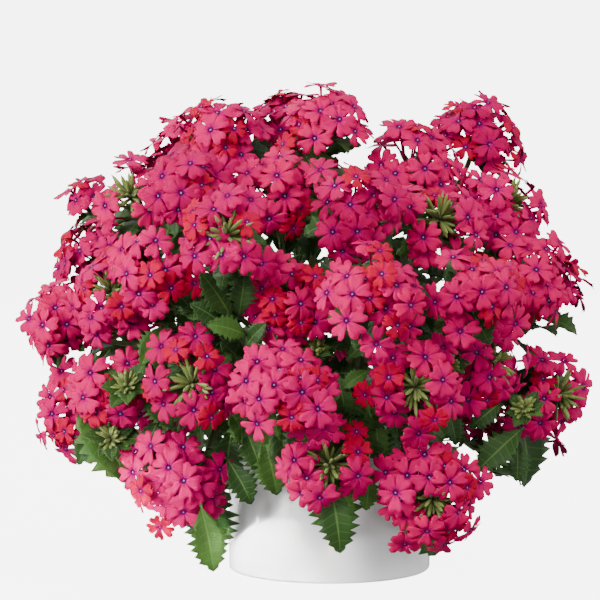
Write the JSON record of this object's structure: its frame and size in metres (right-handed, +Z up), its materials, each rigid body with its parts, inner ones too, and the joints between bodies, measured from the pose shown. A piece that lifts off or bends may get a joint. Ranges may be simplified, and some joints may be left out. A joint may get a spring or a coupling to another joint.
{
  "type": "potted verbena",
  "caption": "Bushy trailing verbena in flower: a mound of bright pink five-petalled heads over toothed leaves, in a plain white pot that stands flat.",
  "frame": {"origin": "middle of the pot's flat base", "axes": "+Z up along the pot's axis; +X to the right across the plant's widest spread; the pictured front faces -Y"},
  "size_m": [0.3476, 0.3031, 0.2887],
  "materials": {
    "pot": "smooth white glaze",
    "soil": "rough, dark, crumbly potting mix",
    "foliage": "matt green leaf with a soft sheen",
    "petals": "soft matt petal, hot pink"
  },
  "bodies": {
    "root": {"pot": "pot", "soil": "soil", "leafy_stem_00": "foliage", "leafy_stem_01": "foliage", "leafy_stem_02": "foliage", "leafy_stem_03": "foliage", "leafy_stem_04": "foliage", "leafy_stem_05": "foliage", "leafy_stem_06": "foliage", "leafy_stem_07": "foliage", "leafy_stem_08": "foliage", "leafy_stem_09": "foliage", "leafy_stem_10": "foliage", "leafy_stem_11": "foliage", "head_00": "petals", "head_01": "petals", "head_02": "petals", "head_03": "petals", "head_04": "petals", "head_05": "petals", "head_06": "petals", "head_07": "petals", "head_08": "petals", "head_09": "petals", "head_10": "petals", "head_11": "petals", "head_12": "petals", "head_13": "petals", "head_14": "petals", "head_15": "petals", "head_16": "petals", "head_17": "petals", "head_18": "petals", "head_19": "petals", "head_20": "petals", "head_21": "petals", "head_22": "petals", "head_23": "petals", "head_24": "petals", "head_25": "petals", "head_26": "petals", "head_27": "petals", "head_28": "petals", "head_29": "petals", "head_30": "petals", "head_31": "petals", "head_32": "petals", "head_33": "petals", "head_34": "petals", "head_35": "petals", "head_36": "petals", "head_37": "petals", "head_38": "petals", "head_39": "petals", "head_40": "petals", "head_41": "petals", "head_42": "petals", "head_43": "petals"}
  },
  "joints": []
}
